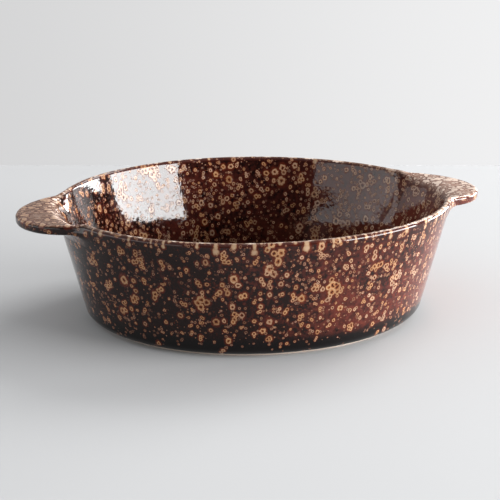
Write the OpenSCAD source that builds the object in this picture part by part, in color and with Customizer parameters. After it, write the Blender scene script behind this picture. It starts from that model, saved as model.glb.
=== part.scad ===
// Oval stoneware bowl with two flat handles, glazed inside and out above a bare foot.
// The origin is under the middle of the foot, on the table. X runs from handle to handle.

/* [Bowl] */
// Length of the rim over the glaze, without the handles
rim_length = 256; // [230:2:300]
// Width of the rim over the glaze, across the handles' axis
rim_width = 228; // [190:2:240]
// Height of the rim above the table
rim_height = 76; // [60:1:95]
// Lean of the wall outwards, in degrees from upright
wall_lean = 14.5; // [8:0.5:18]
// Thickness of the wall with its glaze, at the two ends
wall_thickness = 5; // [4:0.5:8]
// Thickness of the floor with its glaze
floor_thickness = 6.5; // [5:0.5:9]
// Radius of the outer corner, from the wall to the underside
outer_corner = 7.5; // [4:0.5:10]
// Radius of the inner corner, from the wall to the floor
inner_corner = 12; // [9:1:18]

/* [Foot] */
// Height of the floor's underside above the table
foot_height = 1.5; // [1:0.25:3]
// Width of the ring that stands on the table
foot_width = 8; // [6:0.5:12]
// Step inwards from the outer corner's lowest line to the ring
foot_setback = 0.5; // [0.2:0.1:2]

/* [Handles] */
// Reach of each handle beyond the end of the rim
handle_reach = 25.5; // [18:0.5:32]
// Radius of each handle's round end, seen from above
handle_radius = 39.5; // [34:0.5:45]
// Thickness of each handle with its glaze
handle_thickness = 6.5; // [5:0.5:9]
// Radius of the rounded edge of each handle
handle_edge = 2.4; // [1.2:0.1:2.5]
// Radius of the hollow curves where a handle runs into the rim
handle_blend = 20; // [9:1:26]
// Overlap of each hollow curve with the rim and with the handle's round end
handle_bite = 0.5; // [0.3:0.1:1.2]
// Step down from the rim to the top of a handle, at the wall
handle_step = 1; // [0.7:0.1:1.8]
// Slope of each handle down towards its tip, in degrees
handle_tilt = 2.5; // [0:0.5:5]

/* [Glaze] */
// Thickness of the glaze
glaze_thickness = 0.5; // [0.3:0.1:0.8]
// Hair gap between the glaze and the clay, which keeps them apart as two solids
glaze_clearance = 0.05; // [0.02:0.01:0.1]
// Height above the table at which the outer glaze stops
glaze_line = 3; // [2.6:0.1:4.5]

/* [Hidden] */
$fn = 96;
// Number of flats that stand for a quarter turn or less in a profile
arc_steps = 7;
// How far a cutting shape runs past what it cuts
overrun = 20;

clay = "burlywood";
glaze = [0.2, 0.11, 0.09];

// The bowl is turned as a round one and then narrowed to an oval
half_length = rim_length / 2;
narrowing = rim_width / rim_length;
// Radius of the oval's outline at its two ends, and how far its middle is from the bowl's
end_radius = rim_width * narrowing / 2;
end_centre = half_length - end_radius;

// Middle of the rounded lip, as a place outwards from the rim and a height
lip_radius = wall_thickness / 2;
lip_x = -lip_radius;
lip_z = rim_height - lip_radius;

// Middle of the outer corner, which touches the wall's outer face and the underside
corner_z = foot_height + outer_corner;
corner_x = lip_x + lip_radius * cos(wall_lean) - outer_corner * cos(wall_lean)
    - (lip_z - lip_radius * sin(wall_lean) - corner_z + outer_corner * sin(wall_lean)) * tan(wall_lean);

// Middle of the inner corner, which touches the wall's inner face and the floor
floor_top = foot_height + floor_thickness;
cove_z = floor_top + inner_corner;
cove_x = lip_x - lip_radius * cos(wall_lean) - inner_corner * cos(wall_lean)
    - (lip_z + lip_radius * sin(wall_lean) - cove_z + inner_corner * sin(wall_lean)) * tan(wall_lean);

// Depth of the glaze's own inner side below its surface
skin_depth = glaze_thickness - glaze_clearance;
// Underside of the bare clay, where the foot ring joins it
clay_bottom = foot_height + glaze_thickness;

// A handle is a disc with its middle on the long axis, and its blends are circles beside it
handle_centre = half_length + handle_reach - handle_radius;
blend_to_disc = handle_radius + handle_blend - handle_bite;
blend_to_end = end_radius + handle_blend - handle_bite;
disc_to_end = handle_centre - end_centre;
blend_turn = acos((blend_to_end * blend_to_end + disc_to_end * disc_to_end - blend_to_disc * blend_to_disc)
    / (2 * blend_to_end * disc_to_end));
blend_x = end_centre + blend_to_end * cos(blend_turn);
blend_y = blend_to_end * sin(blend_turn);

// Points on an arc, as places outwards from the rim and heights
function arc(x, z, r, from, to) =
    [for (i = [0:arc_steps]) let (a = from + (to - from) * i / arc_steps) [x + r * cos(a), z + r * sin(a)]];

// The outer face from the underside to the crown of the lip, at a depth below the glaze's surface
function outer_face(depth) = concat(
    arc(corner_x, corner_z, outer_corner - depth, -90, -wall_lean),
    arc(lip_x, lip_z, lip_radius - depth, -wall_lean, 90));

// The inner face from the crown of the lip to the edge of the flat floor, at a depth below the glaze
function inner_face(depth) = concat(
    arc(lip_x, lip_z, lip_radius - depth, 90, 180 - wall_lean),
    arc(cove_x, cove_z, inner_corner + depth, -wall_lean, -90));

// The edge of a handle from its underside to its top, at a depth below the glaze
function handle_side(depth) = concat(
    arc(-handle_edge, handle_edge - handle_thickness, handle_edge - depth, -90, 0),
    arc(-handle_edge, -handle_edge, handle_edge - depth, 0, 90));

function backwards(points) = [for (i = [len(points) - 1:-1:0]) points[i]];

// Turns a profile into two half ovals that meet on the long axis. Its x is a radius at the oval's end
module oval(points) {
    for (turn = [0, 180])
        scale([1, narrowing, 1])
            rotate([0, 0, turn])
                rotate_extrude(angle = 180)
                    polygon(points);
}

// An oval ring from a closed profile. Its x is counted outwards from the rim's end
module oval_ring(points) {
    oval([for (p = points) [half_length + p[0], p[1]]]);
}

// The same for a solid that is closed to its middle, from its first point's height to its last's
module oval_solid(points) {
    oval(concat(
        [[0, points[0][1]]],
        [for (p = points) [half_length + p[0], p[1]]],
        [[0, points[len(points) - 1][1]]]));
}

// All that lies inside the outer face, open upwards from the crown
module inside_outer_face(depth) {
    face = outer_face(depth);
    crown = face[len(face) - 1];
    oval_solid(concat(
        [[face[0][0], face[0][1] - overrun]], face,
        [[crown[0], crown[1] + overrun]]));
}

// One handle's full slab on the +X side, still running into the bowl
module handle_slab(depth) {
    side = handle_side(depth);
    low = depth - handle_thickness;
    high = -depth;
    translate([half_length, 0, rim_height - handle_step])
        rotate([0, handle_tilt, 0])
            translate([-half_length, 0, 0]) {
                translate([handle_centre, 0, 0])
                    rotate_extrude()
                        polygon(concat([[0, low]], [for (p = side) [handle_radius + p[0], p[1]]], [[0, high]]));
                difference() {
                    translate([0, 0, low])
                        linear_extrude(height = high - low)
                            polygon([[end_centre, 0], [blend_x, -blend_y], [handle_centre, 0], [blend_x, blend_y]]);
                    for (way = [-1, 1])
                        translate([blend_x, way * blend_y, 0])
                            hollow_curve(side, low, high);
                }
            }
}

// What is cut away beside a handle: a pillar whose ends flare to round the handle's edges
module hollow_curve(side, low, high) {
    first = side[0];
    last = side[len(side) - 1];
    rotate_extrude()
        polygon(concat(
            [[0, low - overrun], [handle_blend - first[0], low - overrun]],
            [for (p = side) [handle_blend - p[0], p[1]]],
            [[handle_blend - last[0], high + overrun], [0, high + overrun]]));
}

module clay_handle() {
    difference() {
        handle_slab(glaze_thickness);
        inside_outer_face(glaze_thickness);
    }
}

// The flared wall with its rounded lip and both bottom corners
module wall() {
    color(clay)
        oval_ring(concat(
            outer_face(glaze_thickness),
            inner_face(glaze_thickness),
            [[cove_x, clay_bottom]]));
}

// The flat slab that closes the bottom inside the wall
module floor() {
    color(clay)
        oval_solid([[cove_x, clay_bottom], [cove_x, floor_top - glaze_thickness]]);
}

// The bare ring that the bowl stands on
module foot_ring() {
    outside = corner_x - foot_setback;
    color(clay)
        oval_ring([
            [outside, 0], [outside, clay_bottom],
            [outside - foot_width, clay_bottom], [outside - foot_width, 0]]);
}

module right_handle() {
    color(clay)
        clay_handle();
}

module left_handle() {
    color(clay)
        mirror([1, 0, 0])
            clay_handle();
}

// The glaze that lines the bowl, from the crown of the lip down and across the floor
module inner_glaze() {
    color(glaze)
        oval_solid(concat(
            backwards(inner_face(skin_depth)),
            inner_face(0)));
}

// The glaze on the outside of the wall and round both handles
module outer_glaze() {
    face = outer_face(0);
    color(glaze)
        difference() {
            union() {
                intersection() {
                    oval_solid(face);
                    translate([-half_length, -half_length, glaze_line])
                        cube([rim_length, rim_length, rim_height]);
                }
                handle_slab(0);
                mirror([1, 0, 0])
                    handle_slab(0);
            }
            inside_outer_face(skin_depth);
            handle_slab(skin_depth);
            mirror([1, 0, 0])
                handle_slab(skin_depth);
        }
}

wall();
floor();
foot_ring();
left_handle();
right_handle();
inner_glaze();
outer_glaze();
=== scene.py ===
"""The glaze and bare clay of an oval stoneware bowl with two handles, on a pale table beside a window."""
import math
import random

import bmesh
import bpy
import numpy as np
from mathutils import Matrix, Vector
from mathutils.kdtree import KDTree


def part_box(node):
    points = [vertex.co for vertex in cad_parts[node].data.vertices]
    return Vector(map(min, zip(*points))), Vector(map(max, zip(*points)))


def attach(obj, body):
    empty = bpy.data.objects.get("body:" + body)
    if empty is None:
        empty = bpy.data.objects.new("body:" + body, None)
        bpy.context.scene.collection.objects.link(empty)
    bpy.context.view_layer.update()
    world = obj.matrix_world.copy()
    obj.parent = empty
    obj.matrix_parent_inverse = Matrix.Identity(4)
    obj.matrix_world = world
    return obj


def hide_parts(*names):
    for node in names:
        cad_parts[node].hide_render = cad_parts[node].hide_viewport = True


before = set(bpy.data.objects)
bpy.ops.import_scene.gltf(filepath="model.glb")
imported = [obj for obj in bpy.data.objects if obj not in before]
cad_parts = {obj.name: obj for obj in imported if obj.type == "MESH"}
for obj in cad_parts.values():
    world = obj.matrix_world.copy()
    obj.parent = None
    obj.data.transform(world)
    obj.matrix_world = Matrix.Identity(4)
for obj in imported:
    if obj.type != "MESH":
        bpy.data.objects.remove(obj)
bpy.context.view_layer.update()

scene = bpy.context.scene
MM = 0.001

# Sizes of the bowl, from the packed clay where it has them
GLAZE = 0.5 * MM
GLAZE_GAP = 0.05 * MM
SKIN = GLAZE - GLAZE_GAP
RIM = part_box("wall")[1] + Vector((GLAZE, 0, GLAZE))
HALF_LENGTH = RIM.x
RIM_HEIGHT = RIM.z
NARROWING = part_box("wall")[1].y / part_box("wall")[1].x
LEAN_DEGREES = 14.5
LEAN = math.radians(LEAN_DEGREES)
LIP = 2.5 * MM
OUTER_CORNER = 7.5 * MM
INNER_CORNER = 12 * MM
FLOOR_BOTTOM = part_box("foot_ring")[1].z - GLAZE
FLOOR_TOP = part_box("floor")[1].z + GLAZE
# The glaze crept a little below the line where it was wiped off
GLAZE_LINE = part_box("outer_glaze")[0].z - 0.8 * MM
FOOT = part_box("foot_ring")
FOOT_WIDTH = 8 * MM
FOOT_WEAR = 0.6 * MM

# Sizes of the handles
HANDLE_RADIUS = 39.5 * MM
HANDLE_THICKNESS = 6.5 * MM
HANDLE_EDGE = 2.4 * MM
HANDLE_BLEND = 20 * MM
HANDLE_STEP = 1 * MM
HANDLE_TILT = math.radians(2.5)
HANDLE_REACH = 25.5 * MM
HANDLE_TOP = RIM_HEIGHT - HANDLE_STEP
HANDLE_CENTRE = HALF_LENGTH + HANDLE_REACH - HANDLE_RADIUS
# Towards the ends of its hollow curves a handle draws back into the wall: by this much over this turn
FADE_TURN = math.radians(8)
FADE_DEPTH = 1.6 * MM
# Inside the lip a handle's slab draws away from the bowl's surface, from here and with this ease
SLAB_INSET = LIP - 1 * MM
SLAB_EASE = 3 * MM
# How far to each side of the long axis a handle changes the bowl, and over how much of that it fades
SPAN = 66 * MM
SPAN_FADE = 36 * MM
# The fillet between a handle and the bowl, and how much wider it grows under the handle, over that height
FILLET = 2.5 * MM
UNDER_FILLET = 4 * MM

# The soft roll from a handle's top into the bowl: how far it reaches down the wall and across the top
CREST_DEPTH = 34 * MM
CREST_WIDTH = 15 * MM
# How far the roll lies clear of a handle's top, of the inner wall, and of the lip away from the handles
TOP_CLEAR = 2.5 * MM
WALL_CLEAR = 1.2 * MM
CREST_CLEAR = 25 * MM
CREST_EASE = 4 * MM
# Below this height the roll leaves the wall, so steeply
CREST_FOOT = 40 * MM
CREST_FOOT_SLOPE = 4

# How much the wall thickens towards the floor on its inner side, and how much more below the handles:
# the amount, the height at which it starts, and how far below that it is whole
THICKENING = (1 * MM, 62 * MM, 30 * MM)
END_THICKENING = (2.5 * MM, 68 * MM, 48 * MM)
# Height over the floor below which the thickening fades again
COVE_FADE = 14 * MM

# The oval's end seen from above is close to a circle, and the handle's hollow curves touch it
END_RADIUS = HALF_LENGTH * NARROWING**2
END_CENTRE = HALF_LENGTH - END_RADIUS
TO_DISC = HANDLE_RADIUS + HANDLE_BLEND
TO_END = END_RADIUS + HANDLE_BLEND
APART = HANDLE_CENTRE - END_CENTRE
BLEND_TURN = math.acos((TO_END**2 + APART**2 - TO_DISC**2) / (2 * TO_END * APART))
BLEND_X = END_CENTRE + TO_END * math.cos(BLEND_TURN)
BLEND_Y = TO_END * math.sin(BLEND_TURN)
# A handle's outline from above: the disc's turn and length, the length with a hollow curve, and the turn
# at which it leaves the rim
DISC_TURN = math.atan2(BLEND_Y, BLEND_X - HANDLE_CENTRE)
DISC_RUN = HANDLE_RADIUS * DISC_TURN
OUTLINE_RUN = DISC_RUN + HANDLE_BLEND * (DISC_TURN - BLEND_TURN)
ROOT_TURN = math.asin((END_RADIUS * math.sin(BLEND_TURN)) / (HALF_LENGTH * NARROWING))

# Middles of the profile's arcs: places outwards from the rim's end and heights
LIP_OUT, LIP_Z = -LIP, RIM_HEIGHT - LIP
CORNER_Z = FLOOR_BOTTOM + OUTER_CORNER
COVE_Z = FLOOR_TOP + INNER_CORNER
SIN, COS, TAN = math.sin(LEAN), math.cos(LEAN), math.tan(LEAN)
CORNER_FALL = LIP_Z - LIP * SIN - CORNER_Z + OUTER_CORNER * SIN
CORNER_OUT = LIP_OUT + (LIP - OUTER_CORNER) * COS - CORNER_FALL * TAN
COVE_FALL = LIP_Z + LIP * SIN - COVE_Z + INNER_CORNER * SIN
COVE_OUT = LIP_OUT - (LIP + INNER_CORNER) * COS - COVE_FALL * TAN
# Where the lip's arc meets the leaning faces
LIP_OUTER = (LIP_OUT + LIP * COS, LIP_Z - LIP * SIN)
LIP_INNER = (LIP_OUT - LIP * COS, LIP_Z + LIP * SIN)

# How finely the glaze is modelled: columns round the bowl, and how much they crowd towards the handles
COLUMNS = 560
CROWDING = 0.4
# How points settle onto a surface: in rounds, none of which moves one further than this
SETTLE_ROUNDS = 6
LONGEST_STEP = 1.5 * MM
LEAST_SLOPE = 0.05
# Points this close to the axis are on it
ON_AXIS = 0.01 * MM

# The photograph's view: its angles round and above the bowl, the camera's distance, where the bowl's origin
# lies from the picture's middle, and the lens in pixels of a picture of that width
CAMERA_TURN = -16.3
CAMERA_RISE = 16.49
CAMERA_DISTANCE = 930.55 * MM
ORIGIN_RIGHT = 2.81 * MM
ORIGIN_UP = -36.77 * MM
LENS_PIXELS = 1411.19
PICTURE_WIDTH = 500


def camera():
    """A long lens, from in front and a little to the left, and a little above the rim."""
    turn, rise = math.radians(CAMERA_TURN), math.radians(CAMERA_RISE)
    back = Vector((math.sin(turn) * math.cos(rise), -math.cos(turn) * math.cos(rise), math.sin(rise)))
    right = Vector((math.cos(turn), math.sin(turn), 0))
    up = back.cross(right)
    data = bpy.data.cameras.new("camera")
    data.sensor_width = 36
    data.lens = LENS_PIXELS / PICTURE_WIDTH * data.sensor_width
    data.clip_start, data.clip_end = 0.05, 50
    made = bpy.data.objects.new("camera", data)
    made.location = back * CAMERA_DISTANCE - right * ORIGIN_RIGHT - up * ORIGIN_UP
    made.rotation_mode = "QUATERNION"
    made.rotation_quaternion = (-back).to_track_quat("-Z", "Y")
    scene.collection.objects.link(made)
    scene.camera = made


# Form of the bowl: distances to its surface, for many points at once

def smooth(share):
    """A soft step from 0 to 1."""
    share = np.clip(share, 0, 1)
    return share * share * (3 - 2 * share)


def outwards(points):
    """Places outwards from the rim, as the profile counts them."""
    return np.hypot(points[:, 0], points[:, 1] / NARROWING) - HALF_LENGTH


def lean_frame(out, z, start_out, start_z):
    """Places of profile points along the leaning wall, downwards from a start, and beside it."""
    down = -(out - start_out) * SIN - (z - start_z) * COS
    beside = (out - start_out) * COS - (z - start_z) * SIN
    return down, beside


def outer_face(out, z):
    """Distance outside the outer face: the lip's arc, the leaning wall and the bottom corner's arc."""
    down, beside = lean_frame(out, z, *LIP_OUTER)
    length = lean_frame(CORNER_OUT + OUTER_CORNER * COS, CORNER_Z - OUTER_CORNER * SIN, *LIP_OUTER)[0]
    lip = np.hypot(out - LIP_OUT, z - LIP_Z) - LIP
    corner = np.hypot(out - CORNER_OUT, z - CORNER_Z) - OUTER_CORNER
    return np.where(down < 0, lip, np.where(down > length, corner, beside))


def inner_face(out, z):
    """Distance above the inner face: the lip's arc, the leaning wall, the cove's arc and the floor."""
    down, beside = lean_frame(out, z, *LIP_INNER)
    length = lean_frame(COVE_OUT + INNER_CORNER * COS, COVE_Z - INNER_CORNER * SIN, *LIP_INNER)[0]
    lip = np.hypot(out - LIP_OUT, z - LIP_Z) - LIP
    cove = INNER_CORNER - np.hypot(out - COVE_OUT, z - COVE_Z)
    low = np.where(out < COVE_OUT, z - FLOOR_TOP, cove)
    return np.where(down < 0, lip, np.where(down > length, low, -beside))


def thickening(z, by_handle):
    """How much thicker the wall is on its inner side than the solid's."""
    amount, start, run = THICKENING
    end_amount, end_start, end_run = END_THICKENING
    even = amount * smooth((start - z) / run)
    at_ends = end_amount * by_handle * smooth((end_start - z) / end_run)
    return (even + at_ends) * smooth((z - FLOOR_TOP) / COVE_FADE)


def handle_plan(x, y):
    """Distance outside a handle's outline from above: a disc, two hollow curves and the bowl's end."""
    y = np.abs(y)
    disc = np.hypot(x - HANDLE_CENTRE, y) - HANDLE_RADIUS
    hollow = HANDLE_BLEND - np.hypot(x - BLEND_X, y - BLEND_Y)
    on_disc = (x - HANDLE_CENTRE) * BLEND_Y - y * (BLEND_X - HANDLE_CENTRE) > 0
    turn = np.arctan2(y, x - END_CENTRE)
    fade = np.clip((turn - BLEND_TURN) / FADE_TURN + 1, 0, None)
    end = np.hypot(x - END_CENTRE, y) - END_RADIUS
    by_wall = np.where(turn < BLEND_TURN, hollow, end)
    return np.where(on_disc, disc, by_wall + fade**2 * FADE_DEPTH)


def handle_above(points):
    """Distance above the plane of a handle's top, which slopes down towards its tip."""
    x, z = np.abs(points[:, 0]), points[:, 2]
    return (z - HANDLE_TOP) * math.cos(HANDLE_TILT) + (x - HALF_LENGTH) * math.sin(HANDLE_TILT)


def handle_slab(points):
    """Distance outside the two handles, as full slabs with rounded edges that end inside the lip."""
    x, y, z = np.abs(points[:, 0]), points[:, 1], points[:, 2]
    past_rim = (x - HALF_LENGTH) * math.cos(HANDLE_TILT) - (z - HANDLE_TOP) * math.sin(HANDLE_TILT)
    half = HANDLE_THICKNESS / 2
    beside = handle_plan(past_rim + HALF_LENGTH, y) + HANDLE_EDGE
    over = np.abs(handle_above(points) + half) - half + HANDLE_EDGE
    slab = np.hypot(np.maximum(beside, 0), np.maximum(over, 0)) + np.minimum(np.maximum(beside, over), 0)
    inwards = np.maximum(-SLAB_INSET - outwards(points), 0)
    return slab - HANDLE_EDGE + inwards**2 / SLAB_EASE


def beside_handle(points):
    """1 over the width of a handle and 0 away from both."""
    return smooth((SPAN - np.abs(points[:, 1])) / SPAN_FADE) * (np.abs(points[:, 0]) > END_CENTRE)


def soft_union(a, b, size):
    """The nearer of two distances, with the hollow between them filled over about that size."""
    share = np.clip(0.5 + 0.5 * (b - a) / size, 0, 1)
    return b + (a - b) * share - size * share * (1 - share)


def form(points, inside):
    """Distance outside the glazed bowl, on its outer or its inner side."""
    out, z = outwards(points), points[:, 2]
    by_handle = beside_handle(points)
    if inside:
        wall = inner_face(out, z) - thickening(z, by_handle)
        fillet = FILLET
    else:
        wall = outer_face(out, z)
        fillet = FILLET + UNDER_FILLET * smooth((HANDLE_TOP - 1 * MM - z) / UNDER_FILLET)
    whole = soft_union(wall, handle_slab(points), fillet)
    # A handle's top rolls over softly into the bowl's inner side
    clear = CREST_CLEAR * (1 - by_handle)
    inwards = -lean_frame(out, z, *LIP_INNER)[1]
    below = clear + TOP_CLEAR - handle_above(points)
    low = CREST_FOOT_SLOPE * np.maximum(CREST_FOOT - z, 0)
    behind = (clear + low + WALL_CLEAR - inwards) * CREST_DEPTH / CREST_WIDTH
    return -soft_union(-whole, soft_union(below, behind, CREST_DEPTH), CREST_EASE)


def slope(field, points, step=0.01 * MM):
    """The direction in which a field grows fastest, with its rate, by small steps along the axes."""
    made = np.empty_like(points)
    for axis in range(3):
        shift = np.zeros(3)
        shift[axis] = step
        made[:, axis] = (field(points + shift) - field(points - shift)) / (2 * step)
    return made


def settle(field, points, level):
    """Points moved to where the field has that level, straight up or down its slope."""
    for _ in range(SETTLE_ROUNDS):
        rise = slope(field, points)
        step = ((level - field(points)) / np.maximum((rise**2).sum(1), LEAST_SLOPE))[:, None] * rise
        size = np.maximum(np.linalg.norm(step, axis=1) / LONGEST_STEP, 1)
        points = points + step / size[:, None]
    return points


# Unevenness of the hand-made bowl and its poured glaze

def wave_set(seed, count, shortest, longest):
    """Directions, spacings and starts of random ripples between two wavelengths."""
    draw = random.Random(seed)
    found = []
    for _ in range(count):
        way = Vector((draw.gauss(0, 1), draw.gauss(0, 1), draw.gauss(0, 1))).normalized()
        found.append([*(way * 2 * math.pi / draw.uniform(shortest, longest)), draw.uniform(0, 2 * math.pi)])
    return np.array(found)


THROWING = wave_set(4, 7, 45 * MM, 110 * MM)
POURING = wave_set(9, 14, 9 * MM, 20 * MM)
THROWN_HEIGHT = 0.06 * MM
POURED_HEIGHT = 0.028 * MM
MEAN_DEPTH = 0.15 * MM
# How far the rim fell in the firing: evenly, and with the cosine and sine of one turn and of two
FALL = 0.54 * MM
FALL_ONCE = (0.34 * MM, 0.14 * MM)
FALL_TWICE = (0.37 * MM, 0.35 * MM)


def ripple(points, waves):
    """A smooth random height from about -1 to 1."""
    return np.sin(points @ waves[:, :3].T + waves[:, 3]).sum(1) / math.sqrt(2 * len(waves)) / 1.4


def unevenness(points):
    """How far the glaze's surface lies outside the true form: always a little less than nothing."""
    thrown = THROWN_HEIGHT * np.clip(ripple(points, THROWING), -1.2, 1.2)
    poured = POURED_HEIGHT * np.clip(ripple(points, POURING), -1.5, 1.5)
    return thrown + poured - MEAN_DEPTH


def rim_fall(x, y):
    """How far the rim lies below its true height: the firing let it sink a little, most at the right."""
    turn = np.arctan2(y / NARROWING, x)
    once = FALL_ONCE[0] * np.cos(turn) + FALL_ONCE[1] * np.sin(turn)
    twice = FALL_TWICE[0] * np.cos(2 * turn) + FALL_TWICE[1] * np.sin(2 * turn)
    return FALL + once + twice


def sink(points):
    """Points of the true bowl, lowered with the rim in proportion to their height."""
    lowered = points.copy()
    lowered[:, 2] *= 1 - rim_fall(points[:, 0], points[:, 1]) / RIM_HEIGHT
    return lowered


# Rows of the profile, from which the glaze is turned. A row is a place outwards, a height, a depth below the
# glaze, and a share of the way along the handle's band, or -1 off the band

# Where on the lip's arc a handle's top leaves it, in degrees, and where on the wall its underside does
MEETING = 37.0
BAND_LOW = HANDLE_TOP - HANDLE_THICKNESS - 2 * MM
# Shares of the band at which the underside starts, the edge starts and the top starts
BAND_STOPS = (0.06, 0.4, 0.62)
# How much the rows crowd towards a handle's edge
EDGE_CROWDING = 0.55
# A handle is drawn out from the wall softly over its first part
REACH_EASE = 3 * MM


def arc(out, z, radius, start, end, count):
    """Points on an arc, without its last."""
    turns = [math.radians(start + (end - start) * i / count) for i in range(count)]
    return [(out + radius * math.cos(t), z + radius * math.sin(t)) for t in turns]


def straight(start, end, count):
    """Points on a line, without its last."""
    return [(start[0] + (end[0] - start[0]) * i / count, start[1] + (end[1] - start[1]) * i / count)
            for i in range(count)]


def wall_at(z, depth=0.0):
    """Place outwards of the outer face at a height, at a depth below the glaze."""
    start_out, start_z = LIP_OUT + (LIP - depth) * COS, LIP_Z - (LIP - depth) * SIN
    return start_out - (start_z - z) * TAN


def outer_rows(depth, corner, wall, handle, lip):
    """Rows from the glaze line to the crown, so many each on the corner, the wall, the band and the lip."""
    glaze_turn = -math.degrees(math.asin((CORNER_Z - GLAZE_LINE) / (OUTER_CORNER - depth)))
    tangent_z = CORNER_Z - (OUTER_CORNER - depth) * SIN
    low_end = (wall_at(BAND_LOW, depth), BAND_LOW)
    lip_z = LIP_Z - (LIP - depth) * SIN
    places = arc(CORNER_OUT, CORNER_Z, OUTER_CORNER - depth, glaze_turn, -LEAN_DEGREES, corner)
    places += straight((wall_at(tangent_z, depth), tangent_z), low_end, wall)
    half = handle // 2
    places += straight(low_end, (wall_at(lip_z, depth), lip_z), half)
    places += arc(LIP_OUT, LIP_Z, LIP - depth, -LEAN_DEGREES, MEETING, handle - half)
    places += arc(LIP_OUT, LIP_Z, LIP - depth, MEETING, 90, lip) + [(LIP_OUT, RIM_HEIGHT - depth)]
    shares = [-1.0] * (corner + wall) + [i / handle for i in range(handle)] + [-1.0] * (lip + 1)
    return [(out, z, depth, share) for (out, z), share in zip(places, shares)]


def inner_rows(depth, lip, wall, cove, floor):
    """Rows from the crown down the inner face and across the floor to the middle."""
    lip_end = (LIP_OUT - (LIP - depth) * COS, LIP_Z + (LIP - depth) * SIN)
    cove_start = (COVE_OUT + (INNER_CORNER + depth) * COS, COVE_Z - (INNER_CORNER + depth) * SIN)
    places = arc(LIP_OUT, LIP_Z, LIP - depth, 90, 180 - LEAN_DEGREES, lip)
    places += straight(lip_end, cove_start, wall)
    places += arc(COVE_OUT, COVE_Z, INNER_CORNER + depth, -LEAN_DEGREES, -90, cove)
    places += straight((COVE_OUT, FLOOR_TOP - depth), (-HALF_LENGTH, FLOOR_TOP - depth), floor)
    places += [(-HALF_LENGTH, FLOOR_TOP - depth)]
    return [(out, z, depth, -1.0) for out, z in places]


def turned(rows):
    """A closed bmesh turned about the bowl's axis from a closed profile. A layer keeps each vertex's row."""
    bm = bmesh.new()
    row_of = bm.verts.layers.int.new("row")
    bmesh.ops.create_grid(bm, x_segments=COLUMNS, y_segments=len(rows), size=0.5)
    for v in bm.verts:
        number = round((v.co.y + 0.5) * len(rows)) % len(rows)
        turn = (v.co.x + 0.5) * 2 * math.pi
        out, z = rows[number][:2]
        v[row_of] = number
        v.co = ((HALF_LENGTH + out) * math.cos(turn), (HALF_LENGTH + out) * math.sin(turn), z)
    bmesh.ops.remove_doubles(bm, verts=bm.verts, dist=0.001 * MM)
    return bm


def outline_point(way):
    """A point on a handle's outline from above, by its distance along the outline from the tip."""
    run = abs(way)
    if run < DISC_RUN:
        turn = run / HANDLE_RADIUS
        x, y = HANDLE_CENTRE + HANDLE_RADIUS * math.cos(turn), HANDLE_RADIUS * math.sin(turn)
    else:
        turn = DISC_TURN + math.pi - (run - DISC_RUN) / HANDLE_BLEND
        x, y = BLEND_X + HANDLE_BLEND * math.cos(turn), BLEND_Y + HANDLE_BLEND * math.sin(turn)
    return x, math.copysign(y, way)


def crowd(share):
    """An even share of the way out over a handle, moved towards its edge."""
    return (1 - EDGE_CROWDING) * share + EDGE_CROWDING * math.sin(share * math.pi / 2)


def band_place(share, reach, tip_x):
    """Where a row of the handle's band goes: out along the underside, round the edge and back on top."""
    drop = (tip_x - HALF_LENGTH) * math.tan(HANDLE_TILT)
    under = HANDLE_TOP - HANDLE_THICKNESS
    wall_low, wall_under = wall_at(BAND_LOW), wall_at(under)
    underside, edge, top = BAND_STOPS
    if share < underside:
        part = share / underside
        return wall_low + (wall_under - wall_low) * part, BAND_LOW + (under - BAND_LOW) * part
    if share < edge:
        part = crowd((share - underside) / (edge - underside))
        return wall_under + (reach - wall_under) * part, under - drop * part
    if share < top:
        part = (share - edge) / (top - edge)
        return reach, under - drop + HANDLE_THICKNESS * part
    part = crowd(1 - (share - top) / (1 - top))
    start = LIP_OUT + LIP * math.cos(math.radians(MEETING))
    return start + (reach - start) * part, HANDLE_TOP - drop * part


def draw_out(place, turn, share):
    """A place on the band, drawn out over the handle on its side of the bowl."""
    side = 1 if math.cos(turn) > 0 else -1
    local = math.asin(max(-1.0, min(1.0, math.sin(turn))))
    if abs(local) >= ROOT_TURN:
        return place
    x, y, z = place
    base = (HALF_LENGTH * math.cos(local), NARROWING * HALF_LENGTH * math.sin(local))
    tip = outline_point(local / ROOT_TURN * OUTLINE_RUN)
    reach = math.dist(base, tip)
    out, height = band_place(share, reach, tip[0])
    out /= max(reach, 1e-6)
    over_x, over_y = base[0] + (tip[0] - base[0]) * out, base[1] + (tip[1] - base[1]) * out
    whole = smooth(reach / REACH_EASE)
    return side * (abs(x) + (over_x - abs(x)) * whole), y + (over_y - y) * whole, z + (height - z) * whole


def shape(bm, rows, inside):
    """Narrows the turned bowl to its oval, draws the band over the handles and settles it on the form."""
    row_of = bm.verts.layers.int["row"]
    points, levels = [], []
    for v in bm.verts:
        out, z, depth, share = rows[v[row_of]]
        column = math.atan2(v.co.y, v.co.x)
        turn = column - CROWDING / 2 * math.sin(2 * column)
        radius = 0 if math.hypot(v.co.x, v.co.y) < ON_AXIS else HALF_LENGTH + out
        place = (radius * math.cos(turn), NARROWING * radius * math.sin(turn), z)
        points.append(place if share < 0 else draw_out(place, turn, share))
        levels.append(depth)
    points, levels = np.array(points), np.array(levels)
    settled = settle(lambda p: form(p, inside), points, -levels)
    settled[np.hypot(points[:, 0], points[:, 1]) < ON_AXIS, :2] = 0
    return settled, levels


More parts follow.
